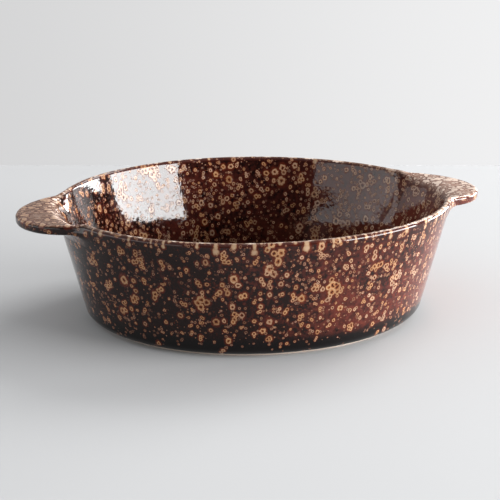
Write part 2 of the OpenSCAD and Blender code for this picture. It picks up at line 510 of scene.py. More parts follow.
def glaze_coat(name, rows, inside):
    """One coat of glaze as a closed mesh, with the spots and zones that its material reads as attributes."""
    bm = turned(rows)
    points, levels = shape(bm, rows, inside)
    front = levels == 0

    def surface(p):
        return form(p, inside) - unevenness(p)

    points[front] = settle(surface, points[front], 0)
    points[np.hypot(points[:, 0], points[:, 1]) < 2 * ON_AXIS, :2] = 0
    normals = slope(surface, points)
    normals[~front] *= -1
    normals /= np.maximum(np.linalg.norm(normals, axis=1), 1e-9)[:, None]
    for v, p in zip(bm.verts, points):
        v.co = p
    bmesh.ops.recalc_face_normals(bm, faces=bm.faces)
    mesh = bpy.data.meshes.new(name)
    bm.to_mesh(mesh)
    bm.free()
    mesh.shade_smooth()
    mark_spots(mesh, points, normals, front, inside)
    mesh.vertices.foreach_set("co", sink(points).ravel())
    mesh.normals_split_custom_set_from_vertices([tuple(n) for n in normals])
    made = bpy.data.objects.new(name, mesh)
    scene.collection.objects.link(made)
    return made


def clay(name):
    """A piece of clay, kept below the glaze where that rolls over softly, and lowered with the rim."""
    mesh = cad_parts[name].data.copy()
    points = np.empty(len(mesh.vertices) * 3)
    mesh.vertices.foreach_get("co", points)
    points = points.reshape(-1, 3)

    def outside_both(p):
        return np.maximum(form(p, False), form(p, True))

    proud = (outside_both(points) > -GLAZE) & (points[:, 2] > RIM_HEIGHT / 2)
    points[proud] = settle(outside_both, points[proud], -GLAZE)
    mesh.vertices.foreach_set("co", sink(points).ravel())
    made = bpy.data.objects.new(name + "_clay", mesh)
    scene.collection.objects.link(made)
    return made


def foot():
    """The bare ring that the bowl stands on, with its edges worn round."""
    out, high = FOOT[1].x - HALF_LENGTH, FOOT[1].z
    places = [(out, high)]
    places += arc(out - FOOT_WEAR, FOOT_WEAR, FOOT_WEAR, 0, -90, 5)
    places += arc(out - FOOT_WIDTH + FOOT_WEAR, FOOT_WEAR, FOOT_WEAR, -90, -180, 5)
    places += [(out - FOOT_WIDTH, FOOT_WEAR), (out - FOOT_WIDTH, high)]
    bm = turned(places)
    bmesh.ops.scale(bm, vec=(1, NARROWING, 1), verts=bm.verts)
    bmesh.ops.recalc_face_normals(bm, faces=bm.faces)
    mesh = bpy.data.meshes.new("foot")
    bm.to_mesh(mesh)
    bm.free()
    mesh.shade_smooth()
    made = bpy.data.objects.new("foot", mesh)
    scene.collection.objects.link(made)
    return made


# Spots in the glaze. A spot is its middle, its frame, which turns an offset from the middle into shares of
# the spot's radius, and its look: the hole's share of the radius, the strength, and the tone, which runs
# from tan at 0 to pink at 1 and is a drip's cream past TONE_OF_DRIPS

# How many rings make a cluster, and how likely each number is
CLUSTER_SIZES = [1, 2, 3, 5, 8]
CLUSTER_SHARES = [0.62, 0.2, 0.11, 0.05, 0.02]
# The glaze to each cluster and to each faint spot, and how far apart clusters start
CLUSTER_AREA = 50 * MM**2
FAINT_AREA = 14 * MM**2
CLUSTER_APART = 3.4 * MM
# A ring's usual radius, how much clusters differ in it and within which shares, and how the rings of one do
RING_RADIUS = 1.38 * MM
RING_VARIETY = 0.33
RING_RANGE = (0.6, 2.0)
RINGS_OF_ONE = (0.6, 1.1)
# How closely the rings of a cluster lap, and each ring's stretch, hole and strength
LAPPING = (0.5, 0.75)
RING_STRETCH = (0.95, 1.3)
RING_HOLE = (0.12, 0.3)
RING_STRENGTH = (0.6, 1.0)
# How many of the faint spots are specks, and how far off a ring, in its radii, they all stay
SPECK_SHARE = 0.45
FAINT_APART = 1.25
# Radii of specks and of faint rings in millimetres, those rings' holes, and the strength and tone of both
SPECK_RADIUS = (0.25, 0.5)
FAINT_RADIUS = (0.55, 1.05)
FAINT_HOLE = (0.3, 0.45)
FAINT_STRENGTH = (0.2, 0.7)
FAINT_TONE = (0.3, 1)
# Drips: their spacing, how many are short, both lengths and the width, in millimetres
DRIP_SPACING = (3, 12)
SHORT_DRIP_SHARE = 0.6
SHORT_DRIP = (1, 3.4)
LONG_DRIP = (3.4, 7)
DRIP_WIDTH = (0.7, 1.6)
# From this length on they have a heavy end, so much wider. Then their tone, and where that starts to count
HEAVY_FROM = 3 * MM
HEAVY_END = (1.1, 1.6)
DRIP_TONE = (1.6, 2.0)
TONE_OF_DRIPS = (1.3, 1.5)
# How many of the nearest rings and faint spots each face looks at, and how many of those it keeps
NEAR_RINGS = 8
NEAR_FAINT = 4
NEAREST = 4


def tangents(normals):
    """Two directions along the surface for each normal: level, and down the slope."""
    level = np.cross(normals, (0, 0, 1)) + np.array((1e-3, 0, 0))
    level /= np.linalg.norm(level, axis=1)[:, None]
    down = np.cross(level, normals)
    return level, down / np.linalg.norm(down, axis=1)[:, None]


def spot_frame(level, down, normal, radius, stretch):
    """The frame of a spot with that radius, stretched down the slope."""
    return np.stack([level / radius, down / (radius * stretch), normal / radius])


def spot_tree(spots, first=0):
    """A search tree of the spots' middles, numbered from the first on."""
    tree = KDTree(len(spots))
    for number, spot in enumerate(spots):
        tree.insert(spot[0], first + number)
    tree.balance()
    return tree


def strewing(centres, areas, shelf, inside):
    """How likely a cluster starts in each face: more on the handles' tops, less by the rim and the foot."""
    z = centres[:, 2]
    low = np.clip(z / (40 * MM), 0.3, 1) if inside else np.clip((z - 8 * MM) / (9 * MM), 0.05, 1)
    by_rim = np.clip((crown_distance(centres) - 1 * MM) / (5 * MM), 0.08, 1)
    right = 1 + 0.5 * centres[:, 0] / HALF_LENGTH
    weights = areas * by_rim * low * right * (1 + 3 * shelf)
    return weights / weights.sum()


def cluster(start, across, fall, normal, on_top, draw):
    """One ring, or several of about one size that lap over each other."""
    size = RING_RADIUS * float(np.clip(draw.lognormal(0, RING_VARIETY), *RING_RANGE))
    pale = draw.uniform(-0.3, 0.8) + 0.5 * start[0] / HALF_LENGTH
    middle, around, spots = start, [], []
    for _ in range(draw.choice(CLUSTER_SIZES, p=CLUSTER_SHARES)):
        radius = size * draw.uniform(*RINGS_OF_ONE)
        if around:
            other, other_radius = around[draw.integers(len(around))]
            heading = draw.uniform(0, 2 * math.pi)
            way = across * math.cos(heading) + fall * math.sin(heading) * 1.3
            middle = other + way * (other_radius + radius) * draw.uniform(*LAPPING)
        around.append((middle, radius))
        held = spot_frame(across, fall, normal, radius, draw.uniform(*RING_STRETCH))
        hole = 0 if on_top else draw.uniform(*RING_HOLE)
        look = (hole, 1 if on_top else draw.uniform(*RING_STRENGTH), min(max(pale, 0), 1))
        spots.append((middle, held, look))
    return spots


def clusters(centres, normals, likely, wanted, shelf, draw):
    """Rings strewn over the glaze, singly and in clusters. On the handles' tops they have no holes."""
    picks = draw.choice(len(likely), size=wanted * 3, p=likely, replace=False)
    level, down = tangents(normals[picks])
    # Starts that aren't found yet are far away
    spots, starts = [], np.full((wanted, 3), 9.0)
    found = 0
    for pick, across, fall in zip(picks, level, down):
        if found == wanted:
            break
        middle = centres[pick] + across * draw.uniform(-0.5, 0.5) * MM
        if np.min(np.sum((starts[:max(found, 1)] - middle)**2, axis=1)) < CLUSTER_APART**2:
            continue
        starts[found] = middle
        found += 1
        spots += cluster(middle, across, fall, normals[pick], shelf[pick] > 0.5, draw)
    return spots


def faint_spots(centres, normals, areas, rings, draw):
    """Small weak rings and specks between the others, few by the foot."""
    wanted = int(areas.sum() / FAINT_AREA)
    weights = areas * np.clip((centres[:, 2] - 5 * MM) / (8 * MM), 0.25, 1)
    picks = draw.choice(len(areas), size=wanted, p=weights / weights.sum(), replace=False)
    level, down = tangents(normals[picks])
    tree = spot_tree(rings)
    spots = []
    for pick, across, fall in zip(picks, level, down):
        middle = centres[pick] + across * draw.uniform(-0.5, 0.5) * MM
        near = rings[tree.find(middle)[1]]
        if np.linalg.norm(near[1] @ (middle - near[0])) < FAINT_APART:
            continue
        speck = draw.uniform() < SPECK_SHARE
        radius = draw.uniform(*(SPECK_RADIUS if speck else FAINT_RADIUS)) * MM
        hole = 0 if speck else draw.uniform(*FAINT_HOLE)
        look = (hole, draw.uniform(*FAINT_STRENGTH), draw.uniform(*FAINT_TONE))
        spots.append((middle, spot_frame(across, fall, normals[pick], radius, 1), look))
    return spots


def lip_point(turn, run, side):
    """A point on the lip's outer or inner side, so far from the crown, with its normal and its way down."""
    arc_run = LIP * (math.pi / 2 + LEAN) if side > 0 else LIP * (math.pi / 2 - LEAN)
    bend = min(run, arc_run) / LIP
    past = max(run - arc_run, 0)
    fall_out, fall_z = side * math.cos(bend), -math.sin(bend)
    out = LIP_OUT + side * LIP * math.sin(bend) + fall_out * past
    z = LIP_Z + LIP * math.cos(bend) + fall_z * past
    radial = np.array((math.cos(turn), NARROWING * math.sin(turn), 0))
    away = np.array((NARROWING * math.cos(turn), math.sin(turn), 0))
    away /= np.linalg.norm(away)
    up = np.array((0, 0, 1.0))
    normal = away * side * math.sin(bend) + up * math.cos(bend)
    return radial * (HALF_LENGTH + out) + up * z, normal, away * fall_out + up * fall_z


def lip_drips(side, draw):
    """Runs of pale glaze that hang from the crown of the lip. Inside they are short, and a third as many."""
    spots = []
    turn = 0.0
    while turn < 2 * math.pi:
        turn += draw.uniform(*DRIP_SPACING) * MM / HALF_LENGTH * (1 if side > 0 else 3)
        # Outside, the handles cover the lip
        if side > 0 and abs(math.asin(math.sin(turn))) < ROOT_TURN:
            continue
        short = draw.uniform() < SHORT_DRIP_SHARE or side < 0
        length = draw.uniform(*(SHORT_DRIP if short else LONG_DRIP)) * MM
        width = draw.uniform(*DRIP_WIDTH) * MM
        look = (0, draw.uniform(0.7, 1), draw.uniform(*DRIP_TONE))
        middle, normal, down = lip_point(turn, length * 0.45, side)
        held = spot_frame(np.cross(down, normal), down, normal, width, length * 0.62 / width)
        spots.append((middle, held, look))
        if length > HEAVY_FROM:
            end, normal, down = lip_point(turn, length, side)
            width *= draw.uniform(*HEAVY_END)
            held = spot_frame(np.cross(down, normal), down, normal, width, 1.25)
            spots.append((end, held, look))
    return spots


def handle_top(points, normals):
    """1 on the handles' tops and on their soft roll into the bowl, and 0 elsewhere."""
    out, level = outwards(points), normals[:, 2]
    top = np.clip((out + LIP) / LIP, 0, 1) * np.clip((level - 0.75) / 0.2, 0, 1)
    rolled = smooth((out + CREST_WIDTH) / (10 * MM)) * smooth((level - 0.5) / 0.35)
    return np.maximum(top, beside_handle(points) * rolled)


def crest(points, normals):
    """1 where a handle's top rolls into the bowl, and 0 elsewhere."""
    return handle_top(points, normals) * smooth((5 * MM - outwards(points)) / (6 * MM))


def crown_distance(points):
    """Distance from the crown of the lip, seen in the profile."""
    return np.hypot(outwards(points) + LIP, points[:, 2] - RIM_HEIGHT)


def read_faces(mesh):
    """The middles, normals and areas of a mesh's faces, and the vertex and the face of each corner."""
    count = len(mesh.polygons)
    centres, normals, areas = np.empty(count * 3), np.empty(count * 3), np.empty(count)
    mesh.polygons.foreach_get("center", centres)
    mesh.polygons.foreach_get("normal", normals)
    mesh.polygons.foreach_get("area", areas)
    corners = np.empty(len(mesh.loops), dtype=np.int32)
    mesh.loops.foreach_get("vertex_index", corners)
    totals = np.empty(count, dtype=np.int32)
    mesh.polygons.foreach_get("loop_total", totals)
    face_of = np.repeat(np.arange(count), totals)
    return centres.reshape(-1, 3), normals.reshape(-1, 3), areas, corners, face_of


def nearest_spots(centres, rings, faint):
    """The numbers of the rings and faint spots nearest to each face, counted through both lists."""
    near = np.empty((len(centres), NEAR_RINGS + NEAR_FAINT), dtype=np.int32)
    first, column = 0, 0
    for kept, wanted in ((rings, NEAR_RINGS), (faint, NEAR_FAINT)):
        tree = spot_tree(kept, first)
        for face, centre in enumerate(centres):
            near[face, column:column + wanted] = [hit[1] for hit in tree.find_n(centre, wanted)]
        first, column = first + len(kept), column + wanted
    return near


def mark_spots(mesh, points, directions, front, inside):
    """Strews spots over a coat. Each face keeps its corners' offsets from the nearest, and their looks."""
    draw = np.random.default_rng(31 if inside else 17)
    centres, normals, areas, corners, face_of = read_faces(mesh)
    shown = np.ones(len(centres), dtype=bool)
    np.logical_and.at(shown, face_of, front[corners])
    seen_centres, seen_normals, seen_areas = centres[shown], normals[shown], areas[shown]
    shelf = handle_top(seen_centres, seen_normals)
    likely = strewing(seen_centres, seen_areas, shelf, inside)
    wanted = int(seen_areas.sum() / CLUSTER_AREA)
    rings = clusters(seen_centres, seen_normals, likely, wanted, shelf, draw)
    rings += lip_drips(-1 if inside else 1, draw)
    faint = faint_spots(seen_centres, seen_normals, seen_areas, rings, draw)
    spots = rings + faint
    middles = np.array([spot[0] for spot in spots])
    frames = np.array([spot[1] for spot in spots])
    looks = np.array([spot[2] for spot in spots])
    near = nearest_spots(centres, rings, faint)
    away = np.einsum("fkij,fkj->fki", frames[near], centres[:, None] - middles[near])
    order = np.argsort((away**2).sum(2), axis=1)[:, :NEAREST]
    chosen = np.take_along_axis(near, order, axis=1)
    for slot in range(NEAREST):
        mine = chosen[face_of, slot]
        offsets = np.einsum("cij,cj->ci", frames[mine], points[corners] - middles[mine])
        held = mesh.attributes.new(f"ring_{slot}", "FLOAT_VECTOR", "CORNER")
        held.data.foreach_set("vector", offsets.ravel())
        held = mesh.attributes.new(f"look_{slot}", "FLOAT_VECTOR", "FACE")
        held.data.foreach_set("vector", looks[chosen[:, slot]].ravel())
    # The crown's distance is kept in millimetres
    zones = {"crown": crown_distance(points) / MM, "shelf": handle_top(points, directions),
             "crest": crest(points, directions), "handle": beside_handle(points)}
    for name, values in zones.items():
        mesh.attributes.new(name, "FLOAT", "POINT").data.foreach_set("value", values)


# Helpers for materials

def put(tree, spot, value):
    """Links a socket to an input, or sets the input to a plain value."""
    if isinstance(value, bpy.types.NodeSocket):
        tree.links.new(value, spot)
    else:
        spot.default_value = value


def noise(tree, place, scale, detail=2.0, output="Fac"):
    """Noise with so many waves to the metre."""
    made = tree.nodes.new("ShaderNodeTexNoise")
    made.inputs["Scale"].default_value = scale
    made.inputs["Detail"].default_value = detail
    tree.links.new(place, made.inputs["Vector"])
    return made.outputs[output]


def calc(tree, operation, *values, clamp=False):
    """A calculation with numbers."""
    made = tree.nodes.new("ShaderNodeMath")
    made.operation = operation
    made.use_clamp = clamp
    for spot, value in zip(made.inputs, values):
        put(tree, spot, value)
    return made.outputs[0]


def along(tree, operation, *values):
    """A calculation with vectors."""
    made = tree.nodes.new("ShaderNodeVectorMath")
    made.operation = operation
    for value, name in zip(values, (0, "Scale" if operation == "SCALE" else 1)):
        put(tree, made.inputs[name], value)
    return made.outputs["Value" if operation in ("LENGTH", "DOT_PRODUCT") else "Vector"]


def split(tree, vector):
    """The outputs X, Y and Z of a vector."""
    made = tree.nodes.new("ShaderNodeSeparateXYZ")
    tree.links.new(vector, made.inputs[0])
    return made.outputs


def band(tree, value, start, end):
    """0 at the start and 1 at the end, with a soft step between them."""
    made = tree.nodes.new("ShaderNodeMapRange")
    made.interpolation_type = "SMOOTHSTEP"
    put(tree, made.inputs["Value"], value)
    put(tree, made.inputs["From Min"], start)
    put(tree, made.inputs["From Max"], end)
    return made.outputs["Result"]


def mix(tree, share, first, second, kind="RGBA"):
    """The first colour or vector, with that share of the second."""
    made = tree.nodes.new("ShaderNodeMix")
    made.data_type = kind
    put(tree, made.inputs["Factor"], share)
    ends = [spot for spot in made.inputs if spot.enabled and spot.name in "AB"]
    for spot, value in zip(ends, (first, second)):
        put(tree, spot, (*value, 1) if isinstance(value, tuple) and kind == "RGBA" else value)
    return next(spot for spot in made.outputs if spot.enabled)


def ramp(tree, value, stops):
    """Colours along a value, from pairs of a place and a colour."""
    made = tree.nodes.new("ShaderNodeValToRGB")
    elements = made.color_ramp.elements
    while len(elements) < len(stops):
        elements.new(0.5)
    for element, (place, colour) in zip(elements, stops):
        element.position = place
        element.color = (*colour, 1)
    tree.links.new(value, made.inputs[0])
    return made.outputs["Color"]


def bump(tree, height, relief, shader):
    """Tilts a shader's normals as a height of so much relief does."""
    made = tree.nodes.new("ShaderNodeBump")
    made.inputs["Distance"].default_value = relief
    tree.links.new(height, made.inputs["Height"])
    tree.links.new(made.outputs["Normal"], shader.inputs["Normal"])


def attribute(tree, name, output="Vector"):
    """An attribute of the mesh."""
    made = tree.nodes.new("ShaderNodeAttribute")
    made.attribute_name = name
    return made.outputs[output]


def object_place(tree):
    """Places on the object, in metres."""
    return tree.nodes.new("ShaderNodeTexCoord").outputs["Object"]


def group(name, inputs, outputs):
    """A new shader node group of number inputs and outputs: its tree, and both of them inside it."""
    tree = bpy.data.node_groups.new(name, "ShaderNodeTree")
    for key, value in inputs.items():
        tree.interface.new_socket(key, in_out="INPUT", socket_type="NodeSocketFloat").default_value = value
    for key in outputs:
        tree.interface.new_socket(key, in_out="OUTPUT", socket_type="NodeSocketFloat")
    return tree, tree.nodes.new("NodeGroupInput").outputs, tree.nodes.new("NodeGroupOutput").inputs


def give(tree, results, **values):
    """Links values to a group's outputs by name."""
    for key, value in values.items():
        tree.links.new(value, results[key])


def use(tree, shared, **values):
    """A shared group in a material, with its inputs set by name: its outputs."""
    made = tree.nodes.new("ShaderNodeGroup")
    made.node_tree = shared
    for key, value in values.items():
        put(tree, made.inputs[key], value)
    return made.outputs


def material(name):
    """A new material: itself, its nodes and its shader."""
    made = bpy.data.materials.new(name)
    made.use_nodes = True
    return made, made.node_tree, made.node_tree.nodes["Principled BSDF"]


# Materials of the bowl. Places in them are in metres

def ring_spots():
    """The spots: where each point lies between the nearest one's hole and edge, and masks of its parts."""
    names = ["Across", "Spot", "Centre", "Halo", "Tone", "Height"]
    tree, given, results = group("ring spots", {"Waviness": 0.3}, names)
    wave = along(tree, "SUBTRACT", noise(tree, object_place(tree), 700, 1, "Color"), (0.5, 0.5, 0.5))
    wave = along(tree, "SCALE", wave, given["Waviness"])
    nearest, look = None, None
    for slot in range(NEAREST):
        away = along(tree, "LENGTH", along(tree, "ADD", attribute(tree, f"ring_{slot}"), wave))
        seen = attribute(tree, f"look_{slot}")
        if nearest is None:
            nearest, look = away, seen
        else:
            look = mix(tree, calc(tree, "LESS_THAN", away, nearest), look, seen, "VECTOR")
            nearest = calc(tree, "MINIMUM", away, nearest)
    hole, strength, tone = split(tree, look)
    from_hole = calc(tree, "SUBTRACT", nearest, hole)
    across = calc(tree, "DIVIDE", from_hole, calc(tree, "SUBTRACT", 1, hole), clamp=True)
    spot = calc(tree, "MULTIPLY", band(tree, nearest, 1.06, 0.9), strength)
    has_hole = calc(tree, "GREATER_THAN", hole, 0.05)
    centre = calc(tree, "MULTIPLY", band(tree, from_hole, 0.1, -0.06), has_hole)
    centre = calc(tree, "MULTIPLY", centre, strength)
    halo = calc(tree, "MULTIPLY", band(tree, nearest, 1.75, 1.05), strength)
    height = calc(tree, "SUBTRACT", spot, calc(tree, "MULTIPLY", centre, 1.6))
    give(tree, results, Across=across, Spot=spot, Centre=centre, Halo=halo, Tone=tone, Height=height)
    return tree


def glaze_body():
    """The dark glaze between the spots: how red it is, redder towards the right partly as painted light from
    the window there, its rust flecks, and the fine waves of its height.
    """
    tree, given, results = group("glaze body", {"Redness": 0.5, "Rightward": 0.3}, ["Red", "Rust", "Ripple"])
    place = object_place(tree)
    right = calc(tree, "MULTIPLY", split(tree, place)["X"], 1 / HALF_LENGTH)
    # Redder towards the right: partly the glaze's own red, partly painted light from the window at the right
    red = calc(tree, "ADD", given["Redness"], calc(tree, "MULTIPLY", right, given["Rightward"]))
    cloud = calc(tree, "SUBTRACT", noise(tree, place, 26, 3), 0.5)
    red = calc(tree, "ADD", red, calc(tree, "MULTIPLY", cloud, 2.2))
    mottle = calc(tree, "SUBTRACT", noise(tree, place, 330, 5), 0.5)
    red = calc(tree, "ADD", red, calc(tree, "MULTIPLY", mottle, 2.4), clamp=True)
    flecks = band(tree, noise(tree, place, 800, 3), 0.6, 0.72)
    rust = calc(tree, "MULTIPLY", flecks, band(tree, noise(tree, place, 110, 2), 0.42, 0.62))
    give(tree, results, Red=red, Rust=rust, Ripple=noise(tree, place, 420, 1))
    return tree


def lip_glaze():
    """Where the glaze is thin over the lip: its pale line, which widens towards the right partly as a
    painted highlight of the window there, how creamy that is, and the brown beside it.
    """
    tree, given, results = group("lip glaze", {"Width": 1.0}, ["Line", "Cream", "Brown"])
    place = object_place(tree)
    crown = attribute(tree, "crown", "Fac")
    ragged = calc(tree, "MULTIPLY", calc(tree, "SUBTRACT", noise(tree, place, 420, 2), 0.5), 3.2)
    reach = calc(tree, "SUBTRACT", crown, ragged)
    # Wider towards the right: partly thin glaze, partly a painted highlight of the window there
    wide = calc(tree, "ADD", given["Width"], band(tree, split(tree, place)["X"], *WIDER_WITH_HIGHLIGHT))
    line = band(tree, reach, calc(tree, "ADD", wide, 0.5), calc(tree, "SUBTRACT", wide, 0.5))
    away = calc(tree, "SUBTRACT", 1, attribute(tree, "handle", "Fac"))
    cream = band(tree, noise(tree, place, 230, 2), 0.45, 0.62)
    brown = calc(tree, "MULTIPLY", band(tree, crown, 4.2, 2.2), away)
    give(tree, results, Line=calc(tree, "MULTIPLY", line, away), Cream=cream, Brown=brown)
    return tree


# The glaze's body: its dark and its brown, the brown at the far right, partly painted light from the window
# there, the flecks, and painted shade by the foot, where the glaze reflects the table's shadow
NEARLY_BLACK = (0.0095, 0.0032, 0.0024)
RED_BROWN = (0.085, 0.0165, 0.0105)
# Partly painted light: the brown at the far right is also brightened as if the window there lit it
FAR_RED_AND_LIT = (0.14, 0.032, 0.021)
RUST = (0.16, 0.032, 0.014)
# Painted shade: the dark that the glaze by the foot reflects from the table's shadow
FOOT_SHADE = (0.003, 0.0018, 0.0018)
# Round a ring and in its hole, and from the hole to the edge of tan and pink rings and of drips
HALO = (0.085, 0.013, 0.005)
HOLE = (0.03, 0.006, 0.002)
TAN_STOPS = [(0.0, (0.09, 0.016, 0.005)), (0.18, (0.33, 0.09, 0.025)), (0.42, (0.52, 0.27, 0.12)),
             (0.66, (0.58, 0.36, 0.19)), (0.86, (0.30, 0.09, 0.03)), (1.0, (0.13, 0.022, 0.009))]
PINK_STOPS = [(0.0, (0.09, 0.02, 0.012)), (0.18, (0.34, 0.13, 0.07)), (0.42, (0.56, 0.37, 0.25)),
              (0.66, (0.62, 0.44, 0.31)), (0.86, (0.30, 0.12, 0.07)), (1.0, (0.14, 0.035, 0.02))]
DRIP_STOPS = [(0.0, (0.62, 0.45, 0.29)), (0.6, (0.56, 0.36, 0.21)), (1.0, (0.2, 0.065, 0.03))]
# Where the glaze is thin: along the lip, and on the handles' tops, at the left and at the right
CREAM = (0.82, 0.65, 0.53)
TAUPE = (0.17, 0.085, 0.05)
THIN = (0.165, 0.07, 0.036)
THIN_RIGHT = (0.34, 0.19, 0.135)
SHELF_CREAM = (0.78, 0.61, 0.5)
# Soft steps of the glaze, in metres from left to right: redder, partly as painted light from the window at
# the right, thinner on the handles, and wider along the lip, partly as a painted highlight of that window
REDDER_AND_LIT = (0.055, 0.125)
THINNER = (-0.02, 0.13)
WIDER_WITH_HIGHLIGHT = (0.02, 0.1)
# And in metres upwards: darker towards the rim, and painted shade towards the foot
DARKER_UP = (0.056, 0.084)
FOOT_SHADE_DOWN = (0.017, 0.009)


def body_colour(tree, under, place, body_share):
    """The dark glaze: nearly black with red-brown clouds, redder towards the right, partly its own red and
    partly painted light from the window there, and rust flecks.
    """
    dark = tuple(c * body_share for c in NEARLY_BLACK)
    # Painted light in part: a brighter red-brown towards the window at the right
    brown = mix(tree, band(tree, place["X"], *REDDER_AND_LIT), RED_BROWN, FAR_RED_AND_LIT)
    brown = along(tree, "SCALE", brown, body_share)
    # It is darker just below the rim and on the handles' edges
    below_rim = calc(tree, "SUBTRACT", 1, band(tree, place["Z"], *DARKER_UP))
    colour = mix(tree, calc(tree, "MULTIPLY", under["Red"], below_rim), dark, brown)
    return mix(tree, calc(tree, "MULTIPLY", under["Rust"], 0.6), colour, RUST)


def thin_colour(tree, place, rolled):
    """Thin glaze on the handles' tops, paler at the right, with fine pale streaks that run down the roll."""
    thin = mix(tree, band(tree, place["X"], *THINNER), THIN, THIN_RIGHT)
    flow = along(tree, "MULTIPLY", object_place(tree), (0.2, 1, 0.2))
    streaks = band(tree, noise(tree, flow, 900, 3), 0.5, 0.6)
    pale = calc(tree, "MULTIPLY", streaks, calc(tree, "ADD", 0.3, calc(tree, "MULTIPLY", rolled, 0.45)))
    return mix(tree, pale, thin, CREAM)


def ring_colour(tree, ring, place, shelf, rolled, gain):
    """The colours of rings and drips from hole to edge, creamier on the handles' tops."""
    tan = ramp(tree, ring["Across"], TAN_STOPS)
    pink = ramp(tree, ring["Across"], PINK_STOPS)
    drip = ramp(tree, ring["Across"], DRIP_STOPS)
    colour = mix(tree, calc(tree, "MINIMUM", ring["Tone"], 1), tan, pink)
    colour = mix(tree, band(tree, ring["Tone"], *TONE_OF_DRIPS), colour, drip)
    colour = along(tree, "SCALE", colour, gain)
    creamy = calc(tree, "ADD", 0.55, calc(tree, "MULTIPLY", place["X"], 2.5))
    creamy = calc(tree, "ADD", creamy, rolled, clamp=True)
    return mix(tree, calc(tree, "MULTIPLY", shelf, creamy), colour, SHELF_CREAM)


def glaze(name, shared, redness, rightward, body_share, ring_gain, foot_shade_share, relief):
    """The bowl's glossy glaze. The shares and the gain set how dark its body, its painted shade by the foot
    and its rings are.
    """
    spots, body, lip = shared
    made, tree, shader = material(name)
    under = use(tree, body, Redness=redness, Rightward=rightward)
    ring = use(tree, spots, Waviness=0.8)
    edge = use(tree, lip, Width=0.6)
    place = split(tree, object_place(tree))
    shelf, rolled = attribute(tree, "shelf", "Fac"), attribute(tree, "crest", "Fac")
    colour = body_colour(tree, under, place, body_share)
    colour = mix(tree, calc(tree, "MULTIPLY", edge["Brown"], 0.35), colour, RED_BROWN)
    colour = mix(tree, calc(tree, "MULTIPLY", shelf, 0.85), colour, thin_colour(tree, place, rolled))
    # Painted shade by the foot, where the glaze reflects the table's shadow
    base = calc(tree, "MULTIPLY", band(tree, place["Z"], *FOOT_SHADE_DOWN), foot_shade_share)
    colour = mix(tree, base, colour, FOOT_SHADE)
    colour = mix(tree, calc(tree, "MULTIPLY", ring["Halo"], 0.85), colour, HALO)
    colour = mix(tree, edge["Line"], colour, mix(tree, edge["Cream"], TAUPE, CREAM))
    colour = mix(tree, ring["Spot"], colour, ring_colour(tree, ring, place, shelf, rolled, ring_gain))
    colour = mix(tree, ring["Centre"], colour, HOLE)
    tree.links.new(colour, shader.inputs["Base Color"])
    rough = calc(tree, "ADD", 0.05, calc(tree, "MULTIPLY", ring["Spot"], 0.05))
    rough = calc(tree, "ADD", rough, calc(tree, "MULTIPLY", edge["Line"], 0.2))
    rough = calc(tree, "ADD", rough, calc(tree, "MULTIPLY", under["Rust"], 0.1))
    tree.links.new(rough, shader.inputs["Roughness"])
    height = calc(tree, "ADD", ring["Height"], calc(tree, "MULTIPLY", under["Ripple"], 0.5))
    bump(tree, height, relief, shader)
    shader.inputs["Specular IOR Level"].default_value = 0.27
    return made


# The buff clay's tones, painted darker than the clay itself as shade for the foot, which stands in the
# bowl's shadow
CLAY_DARK_IN_SHADE = (0.30, 0.24, 0.20)
CLAY_PALE_IN_SHADE = (0.40, 0.33, 0.28)
IRON = (0.12, 0.06, 0.03)


def bare_clay():
    """Buff stoneware, painted darker as shade for the foot that stands in shadow, with dark iron specks and
    a sandy grain.
    """
    made, tree, shader = material("bare clay")
    place = object_place(tree)
    toned = mix(tree, noise(tree, place, 60, 4), CLAY_DARK_IN_SHADE, CLAY_PALE_IN_SHADE)
    specks = band(tree, noise(tree, place, 900, 2), 0.66, 0.74)
    tree.links.new(mix(tree, specks, toned, IRON), shader.inputs["Base Color"])
    shader.inputs["Roughness"].default_value = 0.85
    bump(tree, noise(tree, place, 1500, 4), 0.1 * MM, shader)
    return made


# Surroundings

TABLE = (0.49, 0.495, 0.5, 1)
BLACK = (0, 0, 0, 1)
# The backdrop's glow is painted light of a lit wall: dimmer at the left, brighter towards the window at the
# right
WALL_LEFT = (0.645, 0.645, 0.65)
WALL_RIGHT = (0.89, 0.89, 0.895)
TABLE_SIZE = (12, 12)
WALL_SIZE = (5, 1.6)
WALL_DISTANCE = 409 * MM
# What the bowl reflects of the room where no lamp is
SIDE_WALLS = (0.5, 0.5, 0.5)
BEHIND_CAMERA = (0.04, 0.045, 0.05)
BEHIND_BOWL = (0.35, 0.35, 0.35)
CEILING = (0.72, 0.72, 0.73)
# Lit panels round the bowl: compass angle, half the width as an angle, lowest and highest angle, brightness
PANELS = {
    "window": (-31, 24, 0, 18, 32),
    "window_pane": (20, 16, 0, 14, 32),
    "far_wall_light": (-170, 33, 0, 19, 3),
    "left_wall_light": (136, 17, 0, 25, 1),
    "skylight": (32, 18, 30, 52, 8.5),
}
PANEL_DISTANCE = 2.0
# The lamp under the bowl: how far inside the foot ring's outer edge it ends, its height, and its brightness
UNDER_INSET = 1.05 * FOOT_WIDTH
UNDER_HEIGHT = 0.3 * MM
UNDER_BRIGHTNESS = 0.7


def lamp(name, kind, width, height, filled, brightness):
    """An area lamp of one brightness all over, which fills that share of its width by its height."""
    data = bpy.data.lights.new(name, "AREA")
    data.shape = kind
    data.size, data.size_y = width, height
    data.energy = brightness * math.pi * filled * width * height
    made = bpy.data.objects.new(name, data)
    made.visible_camera = False
    scene.collection.objects.link(made)
    return made


